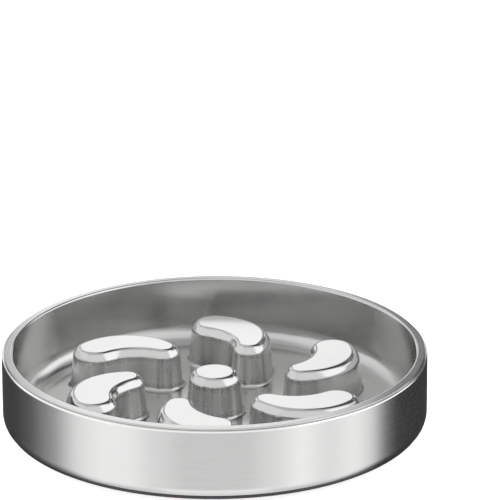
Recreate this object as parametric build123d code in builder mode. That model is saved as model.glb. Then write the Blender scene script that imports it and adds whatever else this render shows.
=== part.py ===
from build123d import *
from math import cos, radians, sin, sqrt, tan
import os

# Slow feeder bowl: a double walled steel bowl on a rubber grip ring.
#
# A pressed pan carries a round boss in the middle and six kidney shaped
# islands around it, so that food lies in the channels between them. The pan's
# rim is rolled into a flat hem that sits on the inward ledge of an outer
# skirt. A base plate closes the skirt from below. Its edge is lapped inside
# the skirt's hem, which leaves a groove round the bottom corner. A ring of
# rubber pads is bonded into a channel pressed in the base plate.
#
# Units are millimetres. +Z is up, and the origin is on the ground, under the
# middle of the bowl.

# Overall sizes
bowl_radius = 140.0
bowl_height = 54.5
sheet = 0.6

# Rim of the pan
rim_width = 7.7
rim_lip_radius = 1.5
rim_hem_height = 1.6
rim_hem_length = 3.6
rim_hem_setback = 1.4

# Body of the pan
pan_wall_draft = 2.5
pan_corner_radius = 13.0
pan_floor_gap = 3.6

# Islands, sized where their upright wall meets the rounded shoulder
island_count = 6
island_drop = 16.2
island_draft = 5.0
island_shoulder_radius = 4.2
island_foot_radius = 3.0
island_inner_end_radius = 11.2
island_outer_end_radius = 15.5
island_back_turn = 109.6
island_hollow_turn = 64.0
island_sweep = 23.5
island_margin = 5.5
island_first_angle = 90.0
boss_radius = 16.9
boss_channel = 30.0

# Outer skirt
skirt_top_radius = 1.2
skirt_ledge_gap = 0.6
skirt_hem_height = 5.0
skirt_hem_end_angle = 27.0

# Base plate and the rounded bottom corner that it shares with the skirt
corner_radius = 10.0
base_groove_angle = 46.0
base_joggle_angle = 38.0
base_flange_height = 4.5
base_channel_depth = 2.0
base_bend_radius = 0.9
base_bend_share = 0.49  # most of the channel's depth that one bend may take

# Rubber grip ring, whose pads are one or two blocks long
ring_inner_radius = 90.5
ring_width = 20.0
ring_stand = 3.5
ring_pad_blocks = (2, 2, 1, 2, 2) * 2
ring_first_angle = 110.0
ring_gap_width = 2.4
ring_gap_depth = 2.6
ring_seam_width = 0.8
ring_seam_depth = 0.9
ring_edge_chamfer = 0.4
ring_side_gap = 1.0

# Bond between the ring and the roof of its channel
bond_thickness = 0.3
bond_inset = 1.0

# Levels, from the ground up
base_level = ring_stand
channel_level = base_level + base_channel_depth
ring_top_level = channel_level - bond_thickness
pan_underside_level = channel_level + sheet + pan_floor_gap
floor_level = pan_underside_level + sheet
rim_level = bowl_height
ledge_level = rim_level - rim_hem_height
island_level = rim_level - island_drop
shoulder_level = island_level - island_shoulder_radius
island_height = island_level - floor_level

# Radii of the pan
rim_inner_radius = bowl_radius - rim_width
hem_outer_radius = bowl_radius - rim_hem_setback
hem_fold_radius = hem_outer_radius - rim_hem_height / 2
pan_foot_radius = rim_inner_radius - (rim_level - floor_level) * tan(radians(pan_wall_draft))
pan_flat_radius = pan_foot_radius - pan_corner_radius

# The rounded bottom corner is struck from this centre
corner_x = bowl_radius - corner_radius
corner_z = base_level + corner_radius


def corner_point(radius, angle):
    """Point at this radius from the corner's centre, this far below level."""
    drop = radians(angle)
    return (corner_x + radius * cos(drop), corner_z - radius * sin(drop))


def spread(drop):
    """How far an island's wall spreads over this drop below its shoulder."""
    return drop * tan(radians(island_draft))


def arc_reach(span, step, turn):
    """Way from an arc's centre to the first of two points this far apart.

    The second point is nearer by step, and the arc turns this much between them.
    """
    opening = 1 - cos(radians(turn))
    return (step + sqrt(step**2 + 2 * (span**2 - step**2) / opening)) / 2


def meeting_point(a, reach_a, b, reach_b):
    """Point at reach_a from a and reach_b from b, left of the way from a to b."""
    way = b - a
    along = (reach_a**2 - reach_b**2 + way.length**2) / (2 * way.length)
    aside = sqrt(reach_a**2 - along**2)
    return a + way.normalized() * along + way.rotate(Axis.Z, 90).normalized() * aside


def island_outline(grow):
    """Kidney of four tangent arcs in plan, grown by this much all round.

    The round ends are struck from two centres, and the back and the hollow
    are arcs that turn from one end to the other.
    """
    foot_growth = spread(shoulder_level - floor_level) + island_foot_radius
    inner_distance = boss_radius + boss_channel + island_inner_end_radius
    outer_distance = pan_flat_radius - island_margin - foot_growth - island_outer_end_radius
    inner = Vector(inner_distance, 0).rotate(Axis.Z, -island_sweep)
    outer = Vector(outer_distance, 0)
    span = (outer - inner).length
    step = island_outer_end_radius - island_inner_end_radius

    back_reach = arc_reach(span, step, island_back_turn)
    hollow_reach = arc_reach(span, -step, island_hollow_turn)
    back_centre = meeting_point(inner, back_reach, outer, back_reach - step)
    hollow_centre = meeting_point(inner, hollow_reach, outer, hollow_reach + step)

    inner_end = island_inner_end_radius + grow
    outer_end = island_outer_end_radius + grow
    back = back_reach + inner_end
    hollow = hollow_reach - inner_end
    back_start = back_centre + (inner - back_centre).normalized() * back
    back_end = back_centre + (outer - back_centre).normalized() * back
    hollow_start = hollow_centre + (outer - hollow_centre).normalized() * hollow
    hollow_end = hollow_centre + (inner - hollow_centre).normalized() * hollow

    with BuildSketch() as outline:
        with BuildLine():
            RadiusArc(back_start, back_end, -back)
            RadiusArc(back_end, hollow_start, -outer_end)
            RadiusArc(hollow_start, hollow_end, hollow)
            RadiusArc(hollow_end, back_start, -inner_end)
        make_face()
    return outline.sketch


def pressed_form(level, grow, shoulder_radius, foot_radius):
    """A disc at this level with the boss and islands standing on it, rounded."""
    outline_growth = spread(shoulder_level - level) + grow
    with BuildPart() as form:
        with BuildSketch(Plane.XY.offset(level)):
            Circle(pan_flat_radius)
        extrude(amount=-sheet)
        with BuildSketch(Plane.XY.offset(level)):
            Circle(boss_radius + outline_growth)
            with PolarLocations(0, island_count, start_angle=island_first_angle):
                add(island_outline(outline_growth))
        extrude(amount=island_height, taper=island_draft)
        roofs = form.faces().filter_by(Plane.XY).group_by(Axis.Z)[-1]
        fillet(roofs.edges(), shoulder_radius)
        disc = form.faces().filter_by(Plane.XY).group_by(Axis.Z)[1][0]
        feet = ShapeList()
        for wire in disc.inner_wires():
            feet += wire.edges()
        fillet(feet, foot_radius)
    return form.part


# Feeding pan: a spun sheet profile, pressed up into the boss and islands
with BuildPart() as feeding_pan:
    with BuildSketch(Plane.XZ):
        with BuildLine():
            face_line = FilletPolyline(
                (0, floor_level),
                (pan_foot_radius, floor_level),
                (rim_inner_radius, rim_level),
                (hem_fold_radius, rim_level),
                radius=[pan_corner_radius, rim_lip_radius],
            )
            fold = ThreePointArc(
                face_line @ 1,
                (hem_outer_radius, (rim_level + ledge_level) / 2),
                (hem_fold_radius, ledge_level),
            )
            Line(fold @ 1, (hem_outer_radius - rim_hem_length, ledge_level))
            offset(amount=sheet, side=Side.RIGHT)
        make_face()
    revolve(axis=Axis.Z)
    add(pressed_form(floor_level, 0, island_shoulder_radius, island_foot_radius))
    add(
        pressed_form(
            pan_underside_level,
            -sheet / cos(radians(island_draft)),
            island_shoulder_radius - sheet,
            island_foot_radius + sheet,
        ),
        mode=Mode.SUBTRACT,
    )


# Outer skirt: inward ledge, upright band and the hemmed bottom corner
ledge_inner_radius = rim_inner_radius + rim_lip_radius + skirt_ledge_gap
hem_top_level = corner_z + skirt_hem_height
hem_middle_radius = corner_radius - sheet
hem_back_radius = corner_radius - 2 * sheet
hem_nose_centre = corner_point(hem_middle_radius, skirt_hem_end_angle)
hem_nose_fall = radians(90 - skirt_hem_end_angle)

with BuildPart() as outer_skirt:
    with BuildSketch(Plane.XZ):
        with BuildLine():
            FilletPolyline(
                (ledge_inner_radius, ledge_level),
                (bowl_radius, ledge_level),
                (bowl_radius, corner_z),
                radius=skirt_top_radius,
            )
            offset(amount=sheet, side=Side.RIGHT)
        make_face()
        with BuildLine():
            ThreePointArc(
                (bowl_radius, corner_z),
                corner_point(corner_radius, skirt_hem_end_angle / 2),
                corner_point(corner_radius, skirt_hem_end_angle),
            )
            ThreePointArc(
                corner_point(corner_radius, skirt_hem_end_angle),
                (
                    hem_nose_centre[0] - sheet * cos(hem_nose_fall),
                    hem_nose_centre[1] - sheet * sin(hem_nose_fall),
                ),
                corner_point(hem_back_radius, skirt_hem_end_angle),
            )
            ThreePointArc(
                corner_point(hem_back_radius, skirt_hem_end_angle),
                corner_point(hem_back_radius, skirt_hem_end_angle / 2),
                corner_point(hem_back_radius, 0),
            )
            Polyline(
                corner_point(hem_back_radius, 0),
                (bowl_radius - 2 * sheet, hem_top_level),
                (bowl_radius - sheet, hem_top_level),
                (bowl_radius - sheet, corner_z),
                (bowl_radius, corner_z),
            )
        make_face()
    revolve(axis=Axis.Z)


# Base plate: flat disc, pressed channel, rounded edge and lapped flange
ring_outer_radius = ring_inner_radius + ring_width
channel_inner_radius = ring_inner_radius - ring_side_gap
channel_outer_radius = ring_outer_radius + ring_side_gap
flange_radius = hem_back_radius
flange_top_level = corner_z + base_flange_height

with BuildPart() as base_plate:
    with BuildSketch(Plane.XZ):
        with BuildLine():
            FilletPolyline(
                (0, base_level),
                (channel_inner_radius, base_level),
                (channel_inner_radius, channel_level),
                (channel_outer_radius, channel_level),
                (channel_outer_radius, base_level),
                (corner_x, base_level),
                radius=min(base_bend_radius, base_bend_share * base_channel_depth),
            )
            edge = ThreePointArc(
                (corner_x, base_level),
                corner_point(corner_radius, (90 + base_groove_angle) / 2),
                corner_point(corner_radius, base_groove_angle),
            )
            joggle = Line(edge @ 1, corner_point(flange_radius, base_joggle_angle))
            lap = ThreePointArc(
                joggle @ 1,
                corner_point(flange_radius, base_joggle_angle / 2),
                corner_point(flange_radius, 0),
            )
            Line(lap @ 1, (corner_x + flange_radius, flange_top_level))
            offset(amount=sheet, side=Side.LEFT)
        make_face()
    revolve(axis=Axis.Z)


# Grip ring: one rubber moulding, with gaps between its pads and seams in them
ring_middle_radius = ring_inner_radius + ring_width / 2
block_turn = 360 / sum(ring_pad_blocks)
gap_angles = []
seam_angles = []
pad_start = ring_first_angle
for blocks in ring_pad_blocks:
    gap_angles.append(pad_start)
    for block in range(1, blocks):
        seam_angles.append(pad_start + block * block_turn)
    pad_start += blocks * block_turn

with BuildPart() as grip_ring:
    with BuildSketch():
        Circle(ring_outer_radius)
        Circle(ring_inner_radius, mode=Mode.SUBTRACT)
    extrude(amount=ring_top_level)
    with BuildSketch():
        for angle in gap_angles:
            with PolarLocations(ring_middle_radius, 1, start_angle=angle):
                Rectangle(2 * ring_width, ring_gap_width)
    extrude(amount=ring_gap_depth, mode=Mode.SUBTRACT)
    with BuildSketch():
        for angle in seam_angles:
            with PolarLocations(ring_middle_radius, 1, start_angle=angle):
                Rectangle(2 * ring_width, ring_seam_width)
    extrude(amount=ring_seam_depth, mode=Mode.SUBTRACT)
    chamfer(grip_ring.faces().group_by(Axis.Z)[0].edges(), ring_edge_chamfer)


# Adhesive ring, between the grip ring and the roof of its channel
with BuildPart() as adhesive_ring:
    with BuildSketch(Plane.XY.offset(ring_top_level)):
        Circle(ring_outer_radius - bond_inset)
        Circle(ring_inner_radius + bond_inset, mode=Mode.SUBTRACT)
    extrude(amount=bond_thickness)


feeding_pan.part.label = "feeding_pan"
outer_skirt.part.label = "outer_skirt"
base_plate.part.label = "base_plate"
grip_ring.part.label = "grip_ring"
adhesive_ring.part.label = "adhesive_ring"

os.makedirs("parts", exist_ok=True)
for piece in (feeding_pan, outer_skirt, base_plate, grip_ring, adhesive_ring):
    export_step(piece.part, f"parts/{piece.part.label}.step")
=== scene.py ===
# %% [markdown]
# # A slow feeder bowl in steel and rubber
#
# The bowl is four visible pieces: a pressed pan with islands, an outer skirt, a base plate and
# a rubber grip ring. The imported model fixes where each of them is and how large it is. This
# script gives them smooth meshes and finishes, a floor, soft light and a camera.
#
# Polished steel is unforgiving: every facet shows in its reflections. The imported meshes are
# made for size and contact, so the pieces that show are built again here from the same sizes,
# with arcs cut finely and flats held by narrow loops. Two forms differ a little from the packed
# ones: the flat of the rim falls outward, and the shoulders of the islands are flatter.

# %% Load the frame
import math

import bmesh
import bpy
from mathutils import Matrix, Vector


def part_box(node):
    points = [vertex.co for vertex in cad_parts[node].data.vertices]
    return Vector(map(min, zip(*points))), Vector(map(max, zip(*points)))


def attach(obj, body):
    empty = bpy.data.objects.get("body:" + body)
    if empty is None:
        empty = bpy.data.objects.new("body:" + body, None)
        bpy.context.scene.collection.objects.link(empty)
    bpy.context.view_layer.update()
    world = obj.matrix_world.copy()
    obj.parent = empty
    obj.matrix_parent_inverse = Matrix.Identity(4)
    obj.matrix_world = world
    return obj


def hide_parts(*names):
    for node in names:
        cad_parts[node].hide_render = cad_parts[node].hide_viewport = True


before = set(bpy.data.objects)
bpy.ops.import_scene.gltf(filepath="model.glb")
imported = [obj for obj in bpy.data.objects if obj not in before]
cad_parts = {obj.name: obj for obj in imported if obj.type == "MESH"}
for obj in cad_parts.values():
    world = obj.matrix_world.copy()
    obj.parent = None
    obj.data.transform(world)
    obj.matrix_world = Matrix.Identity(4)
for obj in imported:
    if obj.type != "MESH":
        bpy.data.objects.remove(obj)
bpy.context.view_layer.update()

MM = 0.001
print("pieces in the frame:", sorted(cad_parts))

# %% [markdown]
# ## Sizes
#
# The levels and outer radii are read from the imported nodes, so they can't drift away from the
# model. The rest are the bends, drafts and gaps of thin pressed sheet, in millimetres, as a
# press shop would write them on a drawing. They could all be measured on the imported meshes,
# but a named size says what it is.

# %% Sizes read from the frame
bowl_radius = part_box("outer_skirt")[1].x
rim_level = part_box("feeding_pan")[1].z
ledge_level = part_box("outer_skirt")[1].z
base_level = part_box("base_plate")[0].z
flange_top_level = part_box("base_plate")[1].z
pan_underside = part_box("feeding_pan")[0].z
ring_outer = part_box("grip_ring")[1].x
ring_top_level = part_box("grip_ring")[1].z
print("bowl radius", round(bowl_radius / MM, 2), "rim level", round(rim_level / MM, 2))

# %% Sizes of the sheet and its bends
sheet = 0.6 * MM
floor_level = pan_underside + sheet
rim_width = 7.7 * MM
lip_radius = 1.5 * MM
wall_draft = math.radians(2.5)
wall_corner = 13.0 * MM
corner_radius = 10.0 * MM
corner_r = bowl_radius - corner_radius
corner_z = base_level + corner_radius
corner_centre = Vector((corner_r, corner_z))
print("inside floor", round(floor_level / MM, 2), "mm up, rim", round(rim_width / MM, 2), "mm wide")

# %% [markdown]
# ## Outlines with arcs
#
# A spun or pressed sheet is a line turned about an axis, or pushed round an outline. The line
# is straight runs joined by arcs. It could be drawn as a curve object, but points from a few
# helpers are easier to check: one draws an arc, one rounds the corners of a run of points, and
# one adds a holding point just beside each bend. A holding point keeps the smooth shading of
# the bend from leaking across the flat next to it.

# %% Arcs, rounded corners and holding points
arc_step = math.radians(6.0)
hold = 0.25 * MM
least_spread = 0.5


def arc(centre, radius, start, end):
    """Points on an arc between two angles in degrees, both ends included."""
    turn = math.radians(end - start)
    count = max(2, math.ceil(abs(turn) / arc_step))
    angles = [math.radians(start) + turn * i / count for i in range(count + 1)]
    return [centre + radius * Vector((math.cos(a), math.sin(a))) for a in angles]


def rounded(corners, radii):
    """A run of points whose inner corners are replaced by tangent arcs."""
    points = [Vector(corners[0])]
    for before, corner, after, radius in zip(corners, corners[1:], corners[2:], radii):
        before, corner, after = Vector(before), Vector(corner), Vector(after)
        back, on = (before - corner).normalized(), (after - corner).normalized()
        half = back.angle(on) / 2
        centre = corner + (back + on).normalized() * radius / math.sin(half)
        reach = radius / math.tan(half)
        first = corner + back * reach - centre
        turn = math.degrees(first.angle_signed(corner + on * reach - centre))
        start = math.degrees(math.atan2(first.y, first.x))
        points += arc(centre, radius, start, start - turn)
    return points + [Vector(corners[-1])]


def held(points):
    """The same run with a holding point near each end of its long steps."""
    out = [points[0]]
    for a, b in zip(points, points[1:]):
        way = b - a
        if way.length > 4 * hold:
            out += [a + way.normalized() * hold, b - way.normalized() * hold]
        out.append(b)
    return out


def offset(points, distance):
    """The run moved sideways by this much, to its left as it goes."""
    moved = []
    for i, point in enumerate(points):
        way = (points[min(i + 1, len(points) - 1)] - points[max(i - 1, 0)]).normalized()
        before = (point - points[i - 1]).normalized() if i else way
        spread = max(least_spread, way.dot(before))
        moved.append(point + Vector((-way.y, way.x)) * distance / spread)
    return moved


print("points on a quarter bend:", len(arc(Vector((0, 0)), corner_radius, 0, 90)))

# %% [markdown]
# ## Turning an outline about the axis
#
# Every steel piece of the bowl is a body of revolution, apart from the islands. Blender has a
# Screw modifier for this, but a loop of rings is as short, closes the seam by itself, and lets
# the first ring of the pan be joined to its floor later. Points nearer than the weld are one.

# %% Turn an outline into a mesh
steps = 240
weld = 0.0025 * MM


def finished(bm, name, sharp=35.0):
    """Closes a bmesh into a smooth object, with creases only at real corners."""
    mesh = bpy.data.meshes.new(name)
    bm.to_mesh(mesh)
    bm.free()
    mesh.shade_smooth()
    mesh.set_sharp_from_angle(angle=math.radians(sharp))
    piece = bpy.data.objects.new(name, mesh)
    bpy.context.scene.collection.objects.link(piece)
    return piece


def spin(bm, outline, closed=False):
    """Adds the outline turned about Z. Points are (radius, level)."""
    turns = [math.tau * i / steps for i in range(steps)]
    rings = []
    for radius, level in outline:
        if radius < weld:
            rings.append([bm.verts.new((0, 0, level))] * steps)
            continue
        places = [(radius * math.cos(turn), radius * math.sin(turn), level) for turn in turns]
        rings.append([bm.verts.new(place) for place in places])
    pairs = list(zip(rings, rings[1:]))
    if closed:
        pairs.append((rings[-1], rings[0]))
    for inner, outer in pairs:
        for i in range(steps):
            j = (i + 1) % steps
            corners = dict.fromkeys((inner[i], inner[j], outer[j], outer[i]))
            if len(corners) > 2:
                bm.faces.new(corners)


def outward(bm):
    """Turns every face of a closed mesh outwards."""
    bmesh.ops.recalc_face_normals(bm, faces=bm.faces)


print("steps round the axis:", steps, "each", round(math.tau / steps * bowl_radius / MM, 2), "mm")

# %% [markdown]
# ## Outer skirt
#
# The skirt is one strip of sheet: a ledge turned in under the pan's rim, a small bead where
# it turns down, whose colour holds a painted highlight, the upright brushed band, and a hem
# that rolls under the bottom corner.
# A single surface with a Solidify modifier would do, but the hem folds back on itself there.
# So the outline is closed, sheet thickness and all, and the mesh is a solid at once.

# %% Build the skirt
skirt_bead = 1.2 * MM
ledge_inner = bowl_radius - rim_width + lip_radius + 0.6 * MM
hem_nose_angle = -27.0
hem_rise = 5.0 * MM
nose = arc(corner_centre, corner_radius - sheet, 0, hem_nose_angle)[-1]

skirt_outline = rounded(
    [(ledge_inner, ledge_level), (bowl_radius, ledge_level), (bowl_radius, corner_z)],
    [skirt_bead],
)
skirt_outline += arc(corner_centre, corner_radius, 0, hem_nose_angle)[1:]
skirt_outline += arc(nose, sheet, hem_nose_angle, hem_nose_angle - 180)[1:]
skirt_outline += arc(corner_centre, corner_radius - 2 * sheet, hem_nose_angle, 0)[1:]
skirt_outline += [
    Vector((bowl_radius - 2 * sheet, corner_z + hem_rise)),
    Vector((bowl_radius - sheet, corner_z + hem_rise)),
]
skirt_outline += rounded(
    [
        (bowl_radius - sheet, corner_z + hem_rise + hold),
        (bowl_radius - sheet, ledge_level - sheet),
        (ledge_inner, ledge_level - sheet),
    ],
    [skirt_bead - sheet],
)
bm = bmesh.new()
spin(bm, held(skirt_outline), closed=True)
outward(bm)
skirt = finished(bm, "skirt_shell")
print("skirt faces:", len(skirt.data.polygons))

# %% [markdown]
# ## Base plate
#
# The base is spun from a disc. Seen from below it has a flat centre, the channel that holds the
# grip ring, a flat outer band and a rounded edge. A step at the edge takes the sheet in under
# the skirt's hem, and the step is the dark groove that runs round the bottom corner. One line
# gives the outer face, and the same line moved in by the sheet's thickness gives the inner one.

# %% Build the base plate
ring_width = 20.0 * MM
side_gap = 1.0 * MM
channel_level = ring_top_level + 0.3 * MM
channel_inner = ring_outer - ring_width - side_gap
channel_outer = ring_outer + side_gap
base_bend = 0.9 * MM
groove_angle, joggle_angle = -46.0, -38.0
flange_radius = corner_radius - 2 * sheet

base_line = rounded(
    [
        (0, base_level), (channel_inner, base_level), (channel_inner, channel_level),
        (channel_outer, channel_level), (channel_outer, base_level), (corner_r, base_level),
    ],
    [base_bend] * 4,
)
base_line += arc(corner_centre, corner_radius, -90, groove_angle)[1:]
base_line += arc(corner_centre, flange_radius, joggle_angle, 0)
base_line += [Vector((corner_r + flange_radius, flange_top_level))]
base_line = held(base_line)
bm = bmesh.new()
spin(bm, base_line + offset(base_line, sheet)[::-1])
open_edges = sum(edge.is_boundary for edge in bm.edges)
outward(bm)
base = finished(bm, "base_shell")
print("base faces:", len(base.data.polygons), "open edges:", open_edges)

# %% [markdown]
# ## Outline of one island
#
# An island is a kidney of four tangent arcs: two round ends, a back and a hollow. A free curve
# could be pulled to look like it, but arcs stay fair, and every offset of an arc is an arc
# again. The two ends, the sweep between them, and how far the back and the hollow turn are
# enough to work out where the arcs have their centres.

# %% A kidney from four arcs
island_level = rim_level - 16.2 * MM
shoulder_radius = 4.2 * MM
foot_radius = 3.0 * MM
island_draft = math.radians(5.0)
inner_end, outer_end = 11.2 * MM, 15.5 * MM
back_turn, hollow_turn = math.radians(109.6), math.radians(64.0)
island_sweep = math.radians(23.5)
island_margin = 5.5 * MM
boss_radius = 16.9 * MM
boss_channel = 30.0 * MM
shoulder_level = island_level - shoulder_radius
wall_foot = bowl_radius - rim_width - (rim_level - floor_level) * math.tan(wall_draft)


def arc_reach(span, step, turn):
    """Way from an arc's centre to the nearer of two ends this far apart."""
    opening = 1 - math.cos(turn)
    return (step + math.sqrt(step**2 + 2 * (span**2 - step**2) / opening)) / 2


def meeting_point(a, reach_a, b, reach_b):
    """Point at reach_a from a and reach_b from b, left of the way from a to b."""
    way = b - a
    along = (reach_a**2 - reach_b**2 + way.length_squared) / (2 * way.length)
    left = Vector((-way.y, way.x)).normalized()
    return a + way.normalized() * along + left * math.sqrt(reach_a**2 - along**2)


def bearing(centre, point):
    """Direction from centre to point, in degrees."""
    return math.degrees(math.atan2(point.y - centre.y, point.x - centre.x))


def kidney():
    """Closed outline of one island at its shoulder, as (place, outward direction)."""
    foot_growth = (shoulder_level - floor_level) * math.tan(island_draft) + foot_radius
    near = boss_radius + boss_channel + inner_end
    far = wall_foot - wall_corner - island_margin - foot_growth - outer_end
    inner = near * Vector((math.cos(island_sweep), -math.sin(island_sweep)))
    outer = Vector((far, 0))
    span, step = (outer - inner).length, outer_end - inner_end
    back_reach = arc_reach(span, step, back_turn)
    hollow_reach = arc_reach(span, -step, hollow_turn)
    back = meeting_point(inner, back_reach, outer, back_reach - step)
    hollow = meeting_point(inner, hollow_reach, outer, hollow_reach + step)
    runs = (
        (back, back_reach + inner_end, bearing(back, inner), bearing(back, outer), 1),
        (outer, outer_end, bearing(back, outer), bearing(outer, hollow), 1),
        (hollow, hollow_reach - inner_end, bearing(hollow, outer), bearing(hollow, inner), -1),
        (inner, inner_end, bearing(inner, hollow), bearing(back, inner), 1),
    )
    outline = []
    for centre, radius, start, end, side in runs:
        turn = (end - start + 180) % 360 - 180
        for point in arc(centre, radius, start, start + turn)[:-1]:
            outline.append((point, (point - centre).normalized() * side))
    return outline


island_outline = kidney()
print("island outline points:", len(island_outline))

# %% [markdown]
# ## Pressing the island and the boss
#
# A press pushes the sheet up over a tool whose wall is the same all the way round: a shoulder
# like a soft bevel, a drafted wall and a rounded foot. Extrude and Bevel could make it, but
# they give corners of uneven width. Here each point of the outline is moved straight out by
# the wall's own offset at each level, which is just what the draft on a press tool does.

# %% Press an outline up out of the floor
boss_steps = 72
bevel_width, bevel_height = 3.1 * MM, 4.7 * MM
roof_bend, flank_bend = 4.2 * MM, 5.0 * MM


def wall_section():
    """The wall as (offset from the shoulder's outline, level), from the roof to the floor."""

    def wall_at(level):
        return ((shoulder_level - level) * math.tan(island_draft), level)

    foot = wall_at(floor_level)
    corners = [
        (-2 * shoulder_radius, island_level), (-bevel_width, island_level),
        wall_at(island_level - bevel_height), foot, (foot[0] + 2 * foot_radius, floor_level),
    ]
    bends = rounded(corners, [roof_bend, flank_bend, foot_radius])[1:-1]
    return [bends[0] - Vector((hold, 0))] + held(bends) + [bends[-1] + Vector((hold, 0))]


def press(outline):
    """A mesh of the outline's roof and wall, open where it meets the floor."""
    bm = bmesh.new()
    rings = []
    for out, level in wall_section():
        rings.append([bm.verts.new((*(place + facing * out), level)) for place, facing in outline])
    count = len(outline)
    for upper, lower in zip(rings, rings[1:]):
        for i in range(count):
            j = (i + 1) % count
            bm.faces.new((upper[i], lower[i], lower[j], upper[j]))
    roof = [bm.edges.get((rings[0][i], rings[0][(i + 1) % count])) for i in range(count)]
    bmesh.ops.triangle_fill(bm, use_beauty=True, edges=roof, normal=(0, 0, 1))
    return bm


island = finished(press(island_outline), "island")
boss_turns = [math.tau * i / boss_steps for i in range(boss_steps)]
boss_facings = [Vector((math.cos(turn), math.sin(turn))) for turn in boss_turns]
boss = finished(press([(boss_radius * facing, facing) for facing in boss_facings]), "boss")
print("faces of an island:", len(island.data.polygons), "and of the boss:", len(boss.data.polygons))

# %% [markdown]
# ## Geometry Nodes: copies round an axis
#
# The islands stand at even steps round the boss. A loop could copy them, but a node tree with
# a count and a first angle makes the number of islands one input. The tree ends in Realize
# Instances and Set Material, because only real geometry is exported. The materials are named
# here, because trees hand them on, and they get their nodes further down.

# %% Helpers to build and run node trees
pan_steel = bpy.data.materials.new("polished_pan_steel")
pad_rubber = bpy.data.materials.new("moulded_rubber")


def put(tree, kind, inputs=(), **settings):
    """Adds a node. Each input is a value, or a socket to link from. None leaves it alone."""
    made = tree.nodes.new(kind)
    for name, value in settings.items():
        setattr(made, name, value)
    pairs = inputs.items() if isinstance(inputs, dict) else enumerate(inputs)
    for key, value in pairs:
        if isinstance(value, bpy.types.NodeSocket):
            tree.links.new(value, made.inputs[key])
        elif value is not None:
            made.inputs[key].default_value = value
    return made


def math_in(tree):
    """A short way to write math nodes in this tree."""
    def calc(operation, *values):
        return put(tree, "ShaderNodeMath", list(values), operation=operation).outputs[0]
    return calc


def new_tree(family, name, inputs, output, kind):
    """A node tree and its inputs. Each is given by its first value, or else by its kind."""
    tree = bpy.data.node_groups.new(name, family + "NodeTree")
    for label, value in inputs.items():
        sort = {int: "Int", float: "Float"}.get(type(value), value)
        socket = tree.interface.new_socket(label, in_out="INPUT", socket_type="NodeSocket" + sort)
        if sort != value:
            socket.default_value = value
    tree.interface.new_socket(output, in_out="OUTPUT", socket_type="NodeSocket" + kind)
    return tree, tree.nodes.new("NodeGroupInput").outputs


def end_tree(tree, geometry, material):
    """Ends a tree in real geometry of one material."""
    real = put(tree, "GeometryNodeRealizeInstances", [geometry]).outputs[0]
    named = put(tree, "GeometryNodeSetMaterial", {"Geometry": real, "Material": material})
    put(tree, "NodeGroupOutput", [named.outputs[0]])


def run_tree(piece, tree, **values):
    """Runs a tree on an object and keeps the result as the object's own plain mesh."""
    modifier = piece.modifiers.new(tree.name, "NODES")
    modifier.node_group = tree
    for item in tree.interface.items_tree:
        name = item.name.replace(" ", "_").lower()
        if item.in_out == "INPUT" and name in values:
            modifier[item.identifier] = values[name]
    bpy.context.view_layer.update()
    seen = piece.evaluated_get(bpy.context.evaluated_depsgraph_get())
    mesh = bpy.data.meshes.new_from_object(seen)
    piece.modifiers.remove(modifier)
    old, piece.data = piece.data, mesh
    bpy.data.meshes.remove(old)
    mesh.name = piece.name


print("materials named so far:", pan_steel.name, pad_rubber.name)


# %% The tree that sets copies round the axis
def copies_tree():
    """Copies of a mesh at even steps round Z, as real geometry."""
    inputs = {"Geometry": "Geometry", "Count": 6, "First Angle": 0.0, "Material": "Material"}
    tree, given = new_tree("Geometry", "copies_round_axis", inputs, "Geometry", "Geometry")
    calc = math_in(tree)
    points = put(tree, "GeometryNodePoints", [given["Count"]])
    index = put(tree, "GeometryNodeInputIndex").outputs[0]
    turned = calc("MULTIPLY_ADD", index, calc("DIVIDE", math.tau, given["Count"]), given["First Angle"])
    turn = put(tree, "ShaderNodeCombineXYZ", {"Z": turned})
    placed = put(
        tree, "GeometryNodeInstanceOnPoints",
        {"Points": points.outputs[0], "Instance": given["Geometry"], "Rotation": turn.outputs[0]},
    )
    end_tree(tree, placed.outputs[0], given["Material"])
    return tree


island_count = 6
first_island = math.radians(90.0)
run_tree(island, copies_tree(), count=island_count, first_angle=first_island, material=pan_steel)
print("islands:", island_count, "faces:", len(island.data.polygons))

# %% [markdown]
# ## Feeding pan
#
# The pan's own outline runs from its flat floor up the drafted wall, over the rounded lip,
# across the brushed rim and round the rolled hem. The islands and the boss could be cut in
# with a Boolean, but that leaves ragged edges in a mirror finish. They are made with the same
# floor level instead, so the flat floor is filled in between their feet. Solidify then gives
# the sheet its thickness.

# %% Build the pan
hem_setback = 1.4 * MM
hem_length = 3.6 * MM
land_fall = 0.45 * MM
rim_inner = bowl_radius - rim_width
hem_outer = bowl_radius - hem_setback
fold = (rim_level - land_fall - ledge_level) / 2
fold_start = 90 - math.degrees(math.atan(land_fall / rim_width))
pan_line = rounded(
    [
        (0, floor_level), (wall_foot, floor_level), (rim_inner, rim_level),
        (hem_outer - fold, rim_level - land_fall),
    ],
    [wall_corner, lip_radius],
)[1:]
pan_line += arc(Vector((hem_outer - fold, ledge_level + fold)), fold, fold_start, -90)[1:]
pan_line += [Vector((hem_outer - hem_length, ledge_level))]
pan_line = held([pan_line[0] - Vector((hold, 0))] + pan_line)

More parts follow.
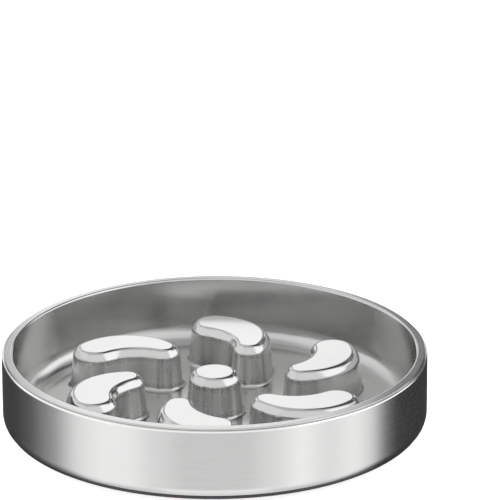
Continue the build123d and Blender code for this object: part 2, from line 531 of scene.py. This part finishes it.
bm = bmesh.new()
spin(bm, pan_line)
bm.from_mesh(island.data)
bm.from_mesh(boss.data)
bmesh.ops.remove_doubles(bm, verts=bm.verts, dist=weld)
floor_edges = [e for e in bm.edges if e.is_boundary and e.verts[0].co.z < floor_level + hold]
bmesh.ops.triangle_fill(bm, use_beauty=True, edges=floor_edges, normal=(0, 0, 1))
outward(bm)
if max(bm.faces, key=lambda f: f.calc_area()).normal.z < 0:
    bmesh.ops.reverse_faces(bm, faces=bm.faces)
pan = finished(bm, "pan_pressing", sharp=60.0)
thick = pan.modifiers.new("sheet", "SOLIDIFY")
thick.thickness = sheet
thick.offset = -1.0
thick.use_even_offset = True
bpy.context.view_layer.update()
pan_mesh = bpy.data.meshes.new_from_object(pan.evaluated_get(bpy.context.evaluated_depsgraph_get()))
pan.modifiers.clear()
pan.data = pan_mesh
for spare in (island, boss):
    bpy.data.objects.remove(spare)
print("pan faces:", len(pan.data.polygons))

# %% [markdown]
# ## Grip ring
#
# The ring is one rubber moulding: a backing that sits in the channel, and pads that touch the
# floor. A pad is one or two blocks long. Wide gaps part the pads, and a narrow seam crosses
# each long pad. The grooves could be cut out of a ring, but blocks with soft edges are closer
# to what comes out of a mould. One straight block is bent into place for every block, by a
# tree that reads where its two ends stop.

# %% Block ends round the ring
ring_inner = ring_outer - ring_width
pad_blocks = (2, 2, 1, 2, 2) * 2
first_pad = math.radians(110.0)
gap_depth = 2.6 * MM
half_gap, half_seam = 1.2 * MM, 0.4 * MM
block_edge = 0.4 * MM
block_cuts = 12
block_ends = []
for blocks in pad_blocks:
    for block in range(blocks):
        starts = half_gap if block == 0 else half_seam
        stops = half_gap if block == blocks - 1 else half_seam
        block_ends.append((starts, stops))
print("blocks round the ring:", len(block_ends))


# %% A straight block
def straight_block():
    """A block from 0 to 1 along X and Y, with soft edges towards the ground."""
    length = math.tau / len(block_ends) * (ring_inner + ring_width / 2)
    top = gap_depth + 2 * hold
    around = ((0, 0), (ring_width, 0), (ring_width, top), (0, top))
    bm = bmesh.new()
    slices = []
    for i in range(block_cuts + 1):
        along = i / block_cuts * length
        slices.append([bm.verts.new((along, across, level)) for across, level in around])
    for here, there in zip(slices, slices[1:]):
        for j in range(4):
            k = (j + 1) % 4
            bm.faces.new((here[j], here[k], there[k], there[j]))
    for end in (slices[0], slices[-1]):
        bm.faces.new(end)
    outward(bm)
    foot = [e for e in bm.edges if all(v.co.z == 0 for v in e.verts) and e.calc_face_angle() > 1]
    bmesh.ops.bevel(
        bm, geom=foot, offset=block_edge, segments=3, profile=0.6, affect="EDGES", clamp_overlap=True
    )
    for v in bm.verts:
        v.co.x /= length
        v.co.y /= ring_width
    return bm


blocks = finished(straight_block(), "blocks", sharp=50.0)
print("faces of a block:", len(blocks.data.polygons))


# %% The tree that bends a block into each place
def bent_blocks_tree():
    """One straight block bent into each place round Z, between the ends stored there."""
    inputs = {
        "Geometry": "Geometry", "Inner Radius": 0.0, "Width": 0.0, "Block Turn": 0.0,
        "First Angle": 0.0, "Blocks": "Object", "Material": "Material",
    }
    tree, given = new_tree("Geometry", "bent_blocks", inputs, "Geometry", "Geometry")
    calc = math_in(tree)

    def stored(name):
        return put(tree, "GeometryNodeInputNamedAttribute", [name], data_type="FLOAT").outputs[0]

    ends = put(tree, "GeometryNodeObjectInfo", [given["Blocks"]])
    placed = put(
        tree, "GeometryNodeInstanceOnPoints",
        {"Points": ends.outputs["Geometry"], "Instance": given["Geometry"]},
    )
    real = put(tree, "GeometryNodeRealizeInstances", [placed.outputs[0]])
    place = put(tree, "GeometryNodeInputPosition").outputs[0]
    along, across, level = put(tree, "ShaderNodeSeparateXYZ", [place]).outputs
    radius = calc("MULTIPLY_ADD", across, given["Width"], given["Inner Radius"])
    lead = calc("ARCSINE", calc("DIVIDE", stored("starts"), radius))
    trail = calc("ARCSINE", calc("DIVIDE", stored("stops"), radius))
    room = calc("SUBTRACT", calc("SUBTRACT", given["Block Turn"], lead), trail)
    first = calc("MULTIPLY_ADD", stored("number"), given["Block Turn"], given["First Angle"])
    angle = calc("ADD", calc("MULTIPLY_ADD", along, room, lead), first)
    x = calc("MULTIPLY", radius, calc("COSINE", angle))
    y = calc("MULTIPLY", radius, calc("SINE", angle))
    bent = put(tree, "ShaderNodeCombineXYZ", [x, y, level]).outputs[0]
    moved = put(tree, "GeometryNodeSetPosition", {"Geometry": real.outputs[0], "Position": bent})
    end_tree(tree, moved.outputs[0], given["Material"])
    return tree


ends_mesh = bpy.data.meshes.new("block_ends")
ends_mesh.from_pydata([(0, 0, 0)] * len(block_ends), [], [])
for name, numbers in (
    ("number", list(range(len(block_ends)))),
    ("starts", [ends[0] for ends in block_ends]),
    ("stops", [ends[1] for ends in block_ends]),
):
    ends_mesh.attributes.new(name, "FLOAT", "POINT").data.foreach_set("value", numbers)
ends_points = bpy.data.objects.new("block_ends", ends_mesh)
bpy.context.scene.collection.objects.link(ends_points)
run_tree(
    blocks, bent_blocks_tree(), inner_radius=ring_inner, width=ring_width, material=pad_rubber,
    block_turn=math.tau / len(block_ends), first_angle=first_pad, blocks=ends_points,
)
print("faces of all blocks:", len(blocks.data.polygons))

# %% Add the backing
backing = [
    (ring_inner, gap_depth), (ring_outer, gap_depth), (ring_outer, ring_top_level),
    (ring_inner, ring_top_level),
]
bm = bmesh.new()
spin(bm, held([Vector(point) for point in backing]), closed=True)
bm.from_mesh(blocks.data)
outward(bm)
ring = finished(bm, "grip_pads", sharp=50.0)
for spare in (blocks, ends_points):
    bpy.data.objects.remove(spare)
print("ring faces:", len(ring.data.polygons))

# %% [markdown]
# ## Effects that the finishes share
#
# Three effects come up again and again on this bowl, so each is a shader group. The first is
# the grain of spun and brushed steel. A brush held against a turning sheet leaves long fine
# scratches that follow circles: noise that changes quickly with the radius and the level, and
# slowly along the circle. Feeding the noise the direction from the axis, and not the angle,
# leaves no seam. The second is the faint cloudiness of handling. The third is a mask that
# changes between two levels, for what differs between the top and the bottom of a piece.


# %% Grain that follows circles
grain_core = 0.25 * MM


def object_place(tree):
    """Object coordinates."""
    return put(tree, "ShaderNodeTexCoord").outputs["Object"]


def place_parts(tree):
    """Object coordinates as sockets named X, Y and Z."""
    return put(tree, "ShaderNodeSeparateXYZ", [object_place(tree)]).outputs


def axis_distance(tree):
    """The distance from the Z axis."""
    calc = math_in(tree)
    place = place_parts(tree)
    squares = calc("MULTIPLY_ADD", place["X"], place["X"], calc("MULTIPLY", place["Y"], place["Y"]))
    return calc("SQRT", squares)


def circle_grain():
    """Scratches that follow circles round the Z axis, about 0.5 on average."""
    inputs = {"Lines": 1600.0, "Length": 9.0, "Detail": 3.0}
    tree, given = new_tree("Shader", "circle_grain", inputs, "Grain", "Float")
    calc = math_in(tree)
    radius = axis_distance(tree)
    x, y, z = place_parts(tree)
    around = calc("DIVIDE", given["Length"], calc("MAXIMUM", radius, grain_core))
    outward_lines = calc("MULTIPLY", radius, given["Lines"])
    upward_lines = calc("MULTIPLY", z, given["Lines"])
    way = [calc("MULTIPLY", x, around), calc("MULTIPLY", y, around), outward_lines]
    spread = put(tree, "ShaderNodeCombineXYZ", way).outputs[0]
    inputs = {"Vector": spread, "W": upward_lines, "Detail": given["Detail"]}
    inputs.update({"Scale": 1.0, "Roughness": 0.6})
    noise = put(tree, "ShaderNodeTexNoise", inputs, noise_dimensions="4D")
    put(tree, "NodeGroupOutput", [noise.outputs[0]])
    return tree


grain_group = circle_grain()
print(grain_group.name, "circles the axis from", grain_core / MM, "mm out")


# %% Smudges, and a mask between two levels
def spread_noise(tree, place, scale, detail, roughness=0.5, distortion=0.0):
    """Noise over a place, about 0.5 on average."""
    inputs = {"Vector": place, "Scale": scale, "Detail": detail}
    inputs.update({"Roughness": roughness, "Distortion": distortion})
    return put(tree, "ShaderNodeTexNoise", inputs).outputs[0]


def handling():
    """Soft smudges and faint cloudiness from handling, about 0.5 on average."""
    tree, given = new_tree("Shader", "handling", {"Scale": 30.0}, "Smudge", "Float")
    put(tree, "NodeGroupOutput", [spread_noise(tree, object_place(tree), given["Scale"], 4.0, 0.55, 0.6)])
    return tree


def between_levels():
    """A mask that is 0 up to one level and 1 from the other on, whichever is higher."""
    levels = {"None At": 0.0, "Full At": 1.0}
    tree, given = new_tree("Shader", "between_levels", levels, "Mask", "Float")
    level = place_parts(tree)["Z"]
    mask = put(tree, "ShaderNodeMapRange", [level, given["None At"], given["Full At"], 0.0, 1.0])
    put(tree, "NodeGroupOutput", [mask.outputs[0]])
    return tree


handling_group, level_group = handling(), between_levels()
print("made the shader groups", handling_group.name, "and", level_group.name)


# %% Material helpers
def material_nodes(material):
    """The material's tree and its Principled shader, ready to be dressed."""
    material.use_nodes = True
    return material.node_tree, material.node_tree.nodes["Principled BSDF"]


def use_group(tree, group, **inputs):
    """Places a shader group in a tree, with these input values, and gives its output."""
    placed = put(tree, "ShaderNodeGroup", node_tree=group)
    for name, value in inputs.items():
        placed.inputs[name.replace("_", " ").title()].default_value = value
    return placed.outputs[0]


def ranged(tree, value, low, high):
    """Maps a value around 0.5, as noise gives it, to a range."""
    return put(tree, "ShaderNodeMapRange", [value, 0.25, 0.75, low, high]).outputs[0]


def blended(tree, amount, under, over):
    """A colour between two others. Each is an (r, g, b) or a socket."""
    colours = []
    for colour in (under, over):
        colours.append(colour if isinstance(colour, bpy.types.NodeSocket) else (*colour, 1))
    inputs = {0: amount, 6: colours[0], 7: colours[1]}
    return put(tree, "ShaderNodeMix", inputs, data_type="RGBA").outputs[2]


def bumped(tree, height, distance, normal=None):
    """A Bump node, laid over another if one is given."""
    inputs = {"Height": height, "Distance": distance, "Normal": normal}
    return put(tree, "ShaderNodeBump", inputs).outputs[0]


def feed(shader, **sockets):
    """Links what varies over the surface to the shader's inputs of these names."""
    for name, socket in sockets.items():
        shader.id_data.links.new(socket, shader.inputs[name.replace("_", " ").title()])


def steel_shine(shader, anisotropy):
    """Makes the shader a metal whose highlights stretch across scratches that run round Z."""
    shader.inputs["Metallic"].default_value = 1.0
    shader.inputs["Anisotropic"].default_value = anisotropy
    shader.inputs["Anisotropic Rotation"].default_value = 0.25
    around = put(shader.id_data, "ShaderNodeTangent", direction_type="RADIAL", axis="Z")
    feed(shader, tangent=around.outputs[0])


def describe(material):
    """Says what a material holds."""
    print("made", material.name, "with", len(material.node_tree.nodes), "nodes")


scratch_depth = 0.02 * MM
print("scratches are", round(scratch_depth / MM, 3), "mm deep")

# %% [markdown]
# ## Finish: the brushed band
#
# The skirt's band is brushed round and round with a fine belt, so it is satin: it mirrors what
# is beside it in soft upright stripes, and blurs what is above and below. Painted stripes
# would look the same from one side only, so the stripes come from an anisotropic shader and
# the lights. Where the band turns in under the rim, the sheet is smoother, and the bead's
# colour is painted near white as a painted highlight.


# %% Skirt: satin brushed round the band
band_greys = (0.60, 0.60, 0.595), (0.64, 0.64, 0.635)
band_roughness = 0.19, 0.25
# The bead's near white colour is a painted highlight, lighter than the steel's own tone.
bead_painted_highlight = (0.95, 0.95, 0.94)
bead_roughness = 0.09
bead_from, bead_to = ledge_level - 1.2 * skirt_bead, ledge_level - 0.75 * skirt_bead


def brushed_band():
    """Satin steel, with a smoother bead along its upper edge whose colour is a painted highlight."""
    material = bpy.data.materials.new("brushed_band_steel")
    tree, steel = material_nodes(material)
    calc = math_in(tree)
    fine = use_group(tree, grain_group, lines=2600.0, length=7.0)
    broad = use_group(tree, grain_group, lines=420.0, length=3.0)
    mixed = calc("MULTIPLY_ADD", broad, 0.4, calc("MULTIPLY", fine, 0.6))
    smudge = use_group(tree, handling_group, scale=22.0)
    bead = use_group(tree, level_group, none_at=bead_from, full_at=bead_to)
    satin = blended(tree, ranged(tree, mixed, 0.0, 1.0), *band_greys)
    rough = calc("ADD", ranged(tree, mixed, *band_roughness), ranged(tree, smudge, -0.015, 0.015))
    burnished = put(tree, "ShaderNodeMix", {"Factor": bead, "A": rough, "B": bead_roughness}).outputs[0]
    # The bead is blended towards near white as a painted highlight.
    feed(steel, base_color=blended(tree, bead, satin, bead_painted_highlight), roughness=burnished)
    feed(steel, normal=bumped(tree, mixed, scratch_depth))
    steel_shine(steel, anisotropy=0.85)
    return material


band_steel = brushed_band()
describe(band_steel)

# %% [markdown]
# ## Finish: the spun base
#
# The base was polished on a lathe with a coarser stone, so its rings are wider than the
# band's, and a bright fan turns with the light. Its rounded edge is painted nearly black, as
# painted shade where the floor lies close under it, and is a little rougher. The edge is
# picked out by its level, not by an angle, so that the flat stays bright right up to the bend.


# %% Base: spun in fine circles
base_greys = (0.57, 0.57, 0.565), (0.69, 0.69, 0.685)
base_roughness = 0.26, 0.36
# The edge's near black colour is painted shade, where the floor close under the bowl darkens it.
edge_painted_shade = (0.08, 0.08, 0.08)
edge_from, edge_to = base_level + 1.0 * MM, base_level + 2.0 * MM


def spun_disc():
    """Steel with wide rings, and a rougher edge painted dark as painted shade."""
    material = bpy.data.materials.new("spun_base_steel")
    tree, steel = material_nodes(material)
    calc = math_in(tree)
    fine = use_group(tree, grain_group, lines=1900.0, length=5.0)
    broad = use_group(tree, grain_group, lines=260.0, length=1.6)
    mixed = calc("MULTIPLY_ADD", broad, 0.45, calc("MULTIPLY", fine, 0.55))
    edge = use_group(tree, level_group, none_at=edge_from, full_at=edge_to)
    flat = blended(tree, ranged(tree, mixed, 0.0, 1.0), *base_greys)
    rough = calc("MULTIPLY_ADD", edge, 0.12, ranged(tree, mixed, *base_roughness))
    # The rounded edge is blended towards near black as painted shade.
    feed(steel, base_color=blended(tree, edge, flat, edge_painted_shade), roughness=rough)
    feed(steel, normal=bumped(tree, mixed, scratch_depth))
    steel_shine(steel, anisotropy=0.8)
    return material


base_steel = spun_disc()
describe(base_steel)

# %% [markdown]
# ## Finish: the polished pan
#
# The pan is one sheet with several finishes. The islands' roofs and shoulders are polished
# bright, their flanks and the drafted wall are a little softer, because a wheel reaches them
# badly, the floor is brushed and painted darker as painted shade low among the islands, and
# the flat of the rim is brushed. Separate materials would meet in hard lines on one sheet, so
# masks by radius and level blend the finishes.


# %% Pan: masks by radius and level
flank_from, flank_to = island_level - 4.5 * MM, island_level - 9.0 * MM


def pan_masks(tree):
    """The places of the pan's finishes, as masks from 0 to 1."""
    calc = math_in(tree)
    radius = axis_distance(tree)

    def between_radii(none_at, full_at):
        return put(tree, "ShaderNodeMapRange", [radius, none_at, full_at, 0.0, 1.0]).outputs[0]

    def levels(none_at, full_at):
        return use_group(tree, level_group, none_at=none_at, full_at=full_at)

    before_fold = between_radii(hem_outer - 0.6 * MM, hem_outer - 1.1 * MM)
    land = calc("MULTIPLY", between_radii(rim_inner + 1.0 * MM, rim_inner + 1.9 * MM), before_fold)
    near_floor = levels(floor_level + 6.0 * MM, floor_level + 1.0 * MM)
    below_lip = levels(rim_level - 1.6 * MM, rim_level - 2.6 * MM)
    wall = calc("MULTIPLY", between_radii(wall_foot - 9.0 * MM, wall_foot - 2.0 * MM), below_lip)
    among_islands = between_radii(wall_foot - 9.0 * MM, wall_foot - 20.0 * MM)
    flank = calc("MULTIPLY", among_islands, levels(flank_from, flank_to))
    return land, near_floor, wall, flank


print("flanks are satin from", round(flank_from / MM, 1), "to", round(flank_to / MM, 1), "mm up")

# %% Pan: polished inside, brushed on the rim
pan_greys = (0.55, 0.55, 0.545), (0.69, 0.69, 0.685)
# This darker grey for the floor is painted shade low among the islands.
floor_painted_shade_grey = (0.44, 0.44, 0.435)
polished_roughness, brushed_roughness = (0.09, 0.14), (0.15, 0.21)
flank_softness, wall_softness = 0.17, 0.07


def polished_pan(material):
    """Polished steel, softer on the flanks and the wall, brushed on the rim and the floor, whose colour
    is painted darker as painted shade.
    """
    tree, steel = material_nodes(material)
    calc = math_in(tree)
    land, near_floor, wall, flank = pan_masks(tree)
    grain = use_group(tree, grain_group, lines=2400.0, length=8.0)
    smudge = use_group(tree, handling_group, scale=26.0)
    softer = calc("MULTIPLY_ADD", flank, flank_softness, calc("MULTIPLY", wall, wall_softness))
    inside = calc("ADD", ranged(tree, smudge, *polished_roughness), softer)
    brushed = ranged(tree, grain, *brushed_roughness)
    spun = calc("MAXIMUM", land, near_floor)
    rough = put(tree, "ShaderNodeMix", {"Factor": spun, "A": inside, "B": brushed}).outputs[0]

    grained = calc("MULTIPLY_ADD", near_floor, 0.2, land)
    streaks = calc("MULTIPLY", calc("SUBTRACT", grain, 0.5), calc("MULTIPLY", grained, 0.8))
    tone = calc("ADD", streaks, ranged(tree, smudge, 0.45, 0.7))
    # The floor is blended towards the darker grey as painted shade.
    painted_floor_shade = calc("MULTIPLY", near_floor, 0.75)
    colour = blended(tree, painted_floor_shade, blended(tree, tone, *pan_greys), floor_painted_shade_grey)

    swayed = bumped(tree, spread_noise(tree, object_place(tree), 16.0, 1.0), 0.2 * MM)
    scratched = bumped(tree, calc("MULTIPLY", grain, grained), scratch_depth, swayed)
    feed(steel, base_color=colour, roughness=rough, normal=scratched)
    steel_shine(steel, anisotropy=0.7)


polished_pan(pan_steel)
describe(pan_steel)

# %% [markdown]
# ## Finish: moulded rubber
#
# The pads are dark grey rubber with a fine grain from the mould. One even noise would look like
# paint, so two are mixed: a fine speckle for the grain and a soft cloud for the rubber, which
# is never quite one tone. The soft edges of the blocks are painted lighter than their faces, as
# a painted highlight.


# %% Pads: grainy rubber with lighter edges
rubber_greys = (0.018, 0.020, 0.022), (0.062, 0.065, 0.069)
# The lighter grey of the block edges is a painted highlight.
edge_painted_highlight = (0.16, 0.165, 0.17)
mould_grain = 750.0


def moulded_rubber(material):
    """Dark rubber with a fine grain, and a painted highlight along the soft edges."""
    tree, rubber = material_nodes(material)
    calc = math_in(tree)
    grain = spread_noise(tree, object_place(tree), mould_grain, 3.0, 0.7)
    cloud = use_group(tree, handling_group, scale=60.0)
    speckle = put(tree, "ShaderNodeMapRange", [grain, 0.36, 0.64, 0.0, 1.0]).outputs[0]
    tone = calc("MULTIPLY_ADD", ranged(tree, cloud, 0.0, 1.0), 0.25, calc("MULTIPLY", speckle, 0.75))
    plain = blended(tree, tone, *rubber_greys)
    above_ground = use_group(tree, level_group, none_at=0.02 * MM, full_at=0.12 * MM)
    below_edge = use_group(tree, level_group, none_at=block_edge + 0.1 * MM, full_at=block_edge)
    edges = calc("MULTIPLY", above_ground, below_edge)
    # The soft edges are lightened as a painted highlight.
    feed(rubber, base_color=blended(tree, edges, plain, edge_painted_highlight))
    feed(rubber, roughness=ranged(tree, grain, 0.62, 0.85), normal=bumped(tree, grain, 0.3 * MM))


moulded_rubber(pad_rubber)
describe(pad_rubber)

# %% [markdown]
# ## Finish: the adhesive
#
# The grip ring is held in its channel by a thin bed of adhesive, which hardly shows. It is
# dull, dark and uneven, so one noise is enough for its tone, its roughness and its bumps.


# %% Adhesive: dull and uneven
glue_greys = (0.05, 0.05, 0.05), (0.12, 0.12, 0.12)


def dull_adhesive():
    """Dull, dark and uneven glue."""
    material = bpy.data.materials.new("dull_adhesive")
    tree, glue = material_nodes(material)
    blot = spread_noise(tree, object_place(tree), 300.0, 3.0)
    feed(glue, base_color=blended(tree, blot, *glue_greys), roughness=ranged(tree, blot, 0.6, 0.9))
    feed(glue, normal=bumped(tree, blot, 0.1 * MM))
    return material


bed_adhesive = dull_adhesive()
describe(bed_adhesive)

# %% [markdown]
# ## Dressing the pieces
#
# Each new piece takes its material, rides on the one body of the bowl, and stands for its
# imported node, which is hidden. The adhesive's imported shape is right as it is, so that node
# stays and only its material changes.


# %% Dress the pieces
def dress(piece, node, material):
    """Gives a piece its material and body, and lets it stand for its node."""
    piece.data.materials.clear()
    piece.data.materials.append(material)
    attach(piece, "root")
    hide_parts(node)
    print(piece.name, "stands for", node, "in", material.name)


dress(pan, "feeding_pan", pan_steel)
dress(skirt, "outer_skirt", band_steel)
dress(base, "base_plate", base_steel)
dress(ring, "grip_ring", pad_rubber)
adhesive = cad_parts["adhesive_ring"]
adhesive.data.materials.clear()
adhesive.data.materials.append(bed_adhesive)

# %% [markdown]
# ## Studio
#
# Steel shows its surroundings, so the light is made mostly by what stands round the bowl. Area
# lights would do, but each would be a hard bright shape in the steel. The studio is painted
# on the world instead, as soft panels laid one over the other, each with a direction, a size
# and a brightness. Only mirror reflections see the panels. The floor, the rubber and the
# backdrop see an even white, which keeps the shadow under the bowl thin and soft.


# %% A soft panel in the sky
def soft_panel():
    """A mask that is 1 inside a panel of this place and size, in degrees, with soft edges."""
    inputs = {
        "Azimuth": 0.0, "Elevation": 0.0, "Facing": 0.0, "Half Width": 30.0, "Height": 30.0,
        "Half Height": 20.0, "Softness": 4.0,
    }
    tree, given = new_tree("Shader", "soft_panel", inputs, "Mask", "Float")
    calc = math_in(tree)
    turned = calc("WRAP", calc("SUBTRACT", given["Azimuth"], given["Facing"]), 180.0, -180.0)
    aside = calc("ABSOLUTE", turned)
    above = calc("ABSOLUTE", calc("SUBTRACT", given["Elevation"], given["Height"]))
    masks = []
    for way, half in ((aside, given["Half Width"]), (above, given["Half Height"])):
        start, end = calc("ADD", half, given["Softness"]), calc("SUBTRACT", half, given["Softness"])
        edge = put(
            tree, "ShaderNodeMapRange", [way, start, end, 0.0, 1.0], interpolation_type="SMOOTHSTEP"
        )
        masks.append(edge.outputs[0])
    put(tree, "NodeGroupOutput", [calc("MULTIPLY", *masks)])
    return tree


panel_group = soft_panel()
panel_inputs = [item.name for item in panel_group.interface.items_tree if item.in_out == "INPUT"]
print("a panel takes:", panel_inputs)

# %% The panels, from the first one painted to the last
# A row holds facing, half width, height, half height and softness, in degrees, and brightness.
# Facing 0 is the camera's side and 90 is to the right. Heights are above the horizon.
panels = {
    "ceiling behind": (180, 180, 66, 34, 8, 0.60),
    "upper wall, back left": (-135, 42, 57, 18, 6, 0.66),
    "wall, back left": (-140, 32, 28, 10, 4, 0.95),
    "dark upper wall, back right": (152, 26, 48, 18, 4, 0.08),
    "dark wall, back right": (148, 18, 29, 5, 4, 0.30),
    "soft box, left": (-90, 40, 30, 32, 7, 1.00),
    "soft box, right": (78, 30, 32, 32, 7, 1.42),
    "tall strip, right": (116, 14, 17, 15, 5, 1.42),
    "soft box, front": (0, 52, 46, 30, 8, 0.95),
    "low soft box, front": (0, 52, 6, 12, 5, 0.90),
    "narrow card, back right": (166, 3, 15, 5, 2, 1.40),
    "narrow card, back left": (-161, 6, 13, 7, 3, 1.30),
    "horizon, back right": (160, 5, 2, 5, 2, 0.85),
    "horizon, back left": (-159, 5, 2, 5, 2, 0.85),
    "upper card, behind": (176, 3, 33, 5, 2, 1.20),
    "low card, behind": (-174.5, 3.5, 11, 4, 2, 0.95),
    "grey card, back left": (-169, 5, 22, 6, 3, 0.50),
    "upper card, back left": (-173.5, 3.5, 33, 5, 2, 1.20),
    "main card, behind": (-179, 4.5, 24.5, 13.5, 1, 1.32),
    "floor, front and sides": (0, 100, -58, 14, 5, 0.90),
    "dark floor, behind": (180, 25, -58, 14, 5, 0.35),
    "floor, straight below": (180, 180, -84, 12, 4, 1.40),
    "bright floor, front": (0, 34, -42, 13, 6, 1.40),
}
# The ring of cards just below the horizon, as facing and brightness from left to right.
low_ring = [
    (-174, 0.30), (-167, 0.05), (-135, 0.05), (-116, 0.13), (-96, 0.46), (-80, 1.16),
    (-64, 1.38), (-46, 1.36), (-18, 0.76), (17, 0.74), (47, 1.46), (64, 1.14),
    (80, 1.38), (93, 1.10), (104, 0.25), (114, 0.04), (167, 0.04), (174, 0.30),
]
low_ring_height, low_ring_half_height, low_ring_softness = -26, 22, 5
room_light, even_light, backdrop_light = 0.12, 1.6, 1.0
print("panels:", len(panels), "and cards in the low ring:", len(low_ring))


# %% Paint the studio
full_turn = 360


def low_ring_light(tree, azimuth):
    """Brightness of the low ring by azimuth. The ramp holds half of it, to stay under 1."""
    calc = math_in(tree)
    ramp = put(tree, "ShaderNodeValToRGB", [calc("MULTIPLY_ADD", azimuth, 1 / full_turn, 0.5)])
    stops = ramp.color_ramp.elements
    stops.remove(stops[1])
    for number, (facing, brightness) in enumerate(low_ring):
        place = facing / full_turn + 0.5
        stop = stops.new(place) if number else stops[0]
        stop.position = place
        stop.color = [brightness / 2] * 3 + [1]
    return calc("MULTIPLY", ramp.outputs[0], 2.0)


def studio_world():
    """The panels for mirror reflections, a plain backdrop, and an even white for the rest."""
    world = bpy.data.worlds.new("studio")
    world.use_nodes = True
    tree = world.node_tree
    tree.nodes.clear()
    calc = math_in(tree)
    way = put(tree, "ShaderNodeTexCoord").outputs["Generated"]
    x, y, z = put(tree, "ShaderNodeSeparateXYZ", [way]).outputs
    azimuth = calc("DEGREES", calc("ARCTAN2", x, calc("MULTIPLY", y, -1.0)))
    elevation = calc("DEGREES", calc("ARCSINE", z))

    def painted(under, mask, brightness):
        return put(tree, "ShaderNodeMix", {"Factor": mask, "A": under, "B": brightness}).outputs[0]

    def panel(*place):
        inputs = [azimuth, elevation, *(float(number) for number in place)]
        return put(tree, "ShaderNodeGroup", inputs, node_tree=panel_group).outputs[0]

    band = panel(0, 180, low_ring_height, low_ring_half_height, low_ring_softness)
    light = painted(room_light, band, low_ring_light(tree, azimuth))
    for *place, brightness in panels.values():
        light = painted(light, panel(*place), brightness)
    rays = put(tree, "ShaderNodeLightPath").outputs
    even = painted(even_light, rays["Is Camera Ray"], backdrop_light)
    seen = painted(even, rays["Is Glossy Ray"], light)
    lit = put(tree, "ShaderNodeBackground", {"Color": seen, "Strength": 1.0})
    put(tree, "ShaderNodeOutputWorld", [lit.outputs[0]])
    return world


bpy.context.scene.world = studio_world()
print("studio nodes:", len(bpy.context.scene.world.node_tree.nodes))

# %% [markdown]
# ## Floor
#
# The bowl stands on a plain pale floor that melts into the backdrop. A shadow catcher would be
# another way, but a floor that glows a little needs no extra pass. It lies just under the
# pads, so that no face of theirs shares its plane. From below it is clear, so that the
# underside of the bowl can be looked at, and reflections pass it by.

# %% Floor: a wide sheet
floor_size = 12.0
floor_drop = 0.2 * MM
floor_mesh = bpy.data.meshes.new("studio_floor")
floor_reach = floor_size / 2
floor_corners = [
    (x * floor_reach, y * floor_reach, -floor_drop) for x, y in ((-1, -1), (1, -1), (1, 1), (-1, 1))
]
floor_mesh.from_pydata(floor_corners, [], [(0, 1, 2, 3)])
floor = bpy.data.objects.new("studio_floor", floor_mesh)
bpy.context.scene.collection.objects.link(floor)
floor.visible_glossy = False
floor.visible_diffuse = False
print("floor", floor_size, "m across,", round(floor_drop / MM, 2), "mm under the pads")

# %% Floor: pale, and clear from below
pale_floor = bpy.data.materials.new("pale_floor")
floor_tree, floor_shader = material_nodes(pale_floor)
floor_shader.inputs["Base Color"].default_value = (0.92, 0.92, 0.92, 1)
floor_shader.inputs["Roughness"].default_value = 0.9
floor_shader.inputs["Specular IOR Level"].default_value = 0.1
floor_shader.inputs["Emission Color"].default_value = (1, 1, 1, 1)
floor_shader.inputs["Emission Strength"].default_value = 0.55
from_below = put(floor_tree, "ShaderNodeNewGeometry").outputs["Backfacing"]
clear = put(floor_tree, "ShaderNodeBsdfTransparent").outputs[0]
one_sided = put(floor_tree, "ShaderNodeMixShader", [from_below, floor_shader.outputs[0], clear])
floor_tree.links.new(one_sided.outputs[0], floor_tree.nodes["Material Output"].inputs["Surface"])
floor_mesh.materials.append(pale_floor)
describe(pale_floor)

# %% [markdown]
# ## Camera
#
# The photograph was taken with a long lens from a little above the rim. The camera looks at the
# middle of the bowl's base from in front, then turns slightly, because the bowl stands left of
# the picture's middle and low in it. A Track To constraint could aim it, but three small turns
# after the main one say plainly how far off centre the picture is.

# %% Camera
picture_height = 500
focal_pixels = 4300
camera_distance = 2.8467
camera_elevation = math.radians(22.31)
turn_left, tilt_up, roll = math.radians(-0.457), math.radians(2.262), math.radians(0.278)

lens = bpy.data.cameras.new("camera")
lens.sensor_width = 36.0
lens.lens = focal_pixels / picture_height * lens.sensor_width
lens.clip_end = 50.0
camera = bpy.data.objects.new("camera", lens)
bpy.context.scene.collection.objects.link(camera)
away = Vector((0, -math.cos(camera_elevation), math.sin(camera_elevation)))
stand = away * camera_distance + Vector((0, 0, base_level))
facing = (
    Matrix.Rotation(math.pi / 2 - camera_elevation, 4, "X")
    @ Matrix.Rotation(turn_left, 4, "Y")
    @ Matrix.Rotation(tilt_up, 4, "X")
    @ Matrix.Rotation(-roll, 4, "Z")
)
camera.matrix_world = Matrix.Translation(stand) @ facing
bpy.context.scene.camera = camera
bpy.context.scene.view_settings.view_transform = "Standard"
print("lens", round(lens.lens, 1), "mm, camera", camera_distance, "m away")
